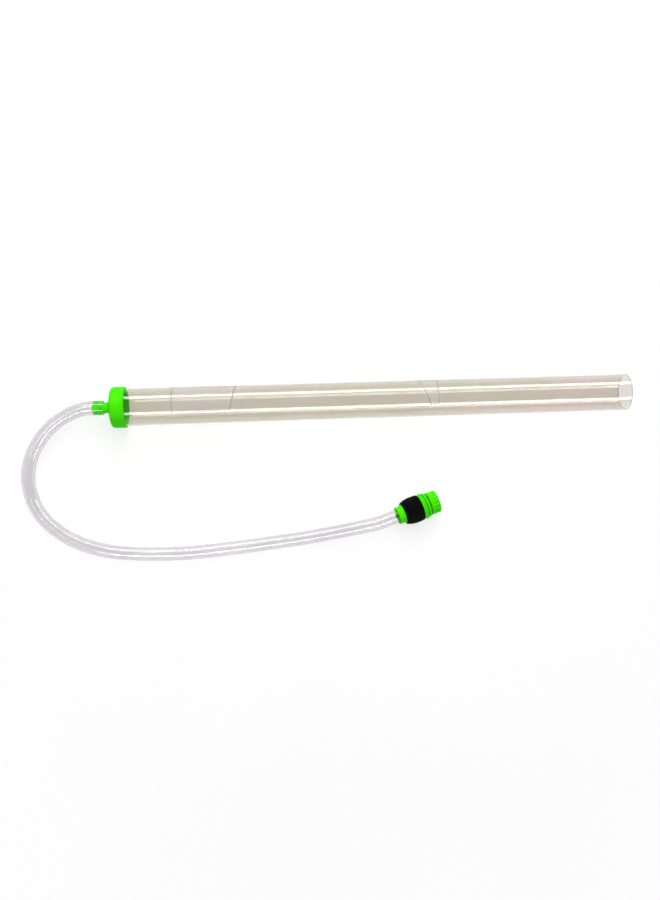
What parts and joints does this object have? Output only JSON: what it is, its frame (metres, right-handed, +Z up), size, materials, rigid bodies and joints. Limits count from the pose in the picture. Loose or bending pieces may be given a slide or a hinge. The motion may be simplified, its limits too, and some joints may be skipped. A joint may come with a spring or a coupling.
{
  "type": "gravel vacuum siphon",
  "caption": "Clear suction tube in a green end cap, with a clear hose from its barbed tail to a quick connector with a rubber-gripped nut and a sprung release collar.",
  "frame": {"origin": "bottom centre of the box round the suction tube and its cap, on the floor that the siphon lies on; the hose and its connector are left out", "axes": "+X along the suction tube to its open mouth, +Z up, and the hose and connector lie on the -Y side"},
  "size_m": [0.825, 0.2325, 0.055],
  "materials": {
    "clear_tube": "clear, polished",
    "clear_hose": "clear, glossy, flexible",
    "green_plastic": "moulded, semi-gloss",
    "black_rubber": "knurled",
    "ivory_plastic": "moulded, satin",
    "spring_steel": "drawn wire"
  },
  "bodies": {
    "siphon_head": {"tube_cap": "green_plastic", "hose": "clear_hose", "connector_body": "green_plastic", "collar_spring": "spring_steel"},
    "suction_tube": {"gravel_tube": "clear_tube"},
    "gripper": {"hose_gripper": "ivory_plastic"},
    "nut": {"hose_nut": "green_plastic", "nut_grip": "black_rubber"},
    "collar": {"release_collar": "green_plastic"},
    "claw_1": {"latch_claw_1": "ivory_plastic"},
    "claw_2": {"latch_claw_2": "ivory_plastic"},
    "claw_3": {"latch_claw_3": "ivory_plastic"},
    "claw_4": {"latch_claw_4": "ivory_plastic"}
  },
  "joints": [
    {"name": "tube_pull", "type": "slide", "parent": "siphon_head", "child": "suction_tube", "axis": [1, 0, 0], "range_m": [0, 0.02]},
    {"name": "nut_turn", "type": "hinge", "parent": "gripper", "child": "nut", "pos_m": [0.0375, -0.159, 0.0208], "axis": [-0.9454, -0.3163, 0.0785], "range_deg": [0, 720]},
    {"name": "gripper_slide", "type": "slide", "parent": "siphon_head", "child": "gripper", "axis": [-0.9454, -0.3163, 0.0785], "range_m": [0, 0.006]},
    {"name": "collar_slide", "type": "slide", "parent": "siphon_head", "child": "collar", "axis": [-0.9454, -0.3163, 0.0785], "range_m": [0, 0.002], "stiffness_N_per_m": 2000, "springref_m": -0.002, "deforming": ["collar_spring"]},
    {"name": "claw_1_slide", "type": "slide", "parent": "siphon_head", "child": "claw_1", "axis": [-0.277, 0.653, -0.7049], "range_m": [0, 0.00088]},
    {"name": "claw_2_slide", "type": "slide", "parent": "siphon_head", "child": "claw_2", "axis": [-0.1718, 0.6882, 0.7049], "range_m": [0, 0.00088]},
    {"name": "claw_3_slide", "type": "slide", "parent": "siphon_head", "child": "claw_3", "axis": [0.277, -0.653, 0.7049], "range_m": [0, 0.00088]},
    {"name": "claw_4_slide", "type": "slide", "parent": "siphon_head", "child": "claw_4", "axis": [0.1718, -0.6882, -0.7049], "range_m": [0, 0.00088]}
  ],
  "couplings": [
    {"joint": "gripper_slide", "follows": "nut_turn", "m_per_rad": 0.00047746},
    {"joint": "claw_1_slide", "follows": "collar_slide", "ratio": 0.44},
    {"joint": "claw_2_slide", "follows": "collar_slide", "ratio": 0.44},
    {"joint": "claw_3_slide", "follows": "collar_slide", "ratio": 0.44},
    {"joint": "claw_4_slide", "follows": "collar_slide", "ratio": 0.44}
  ]
}
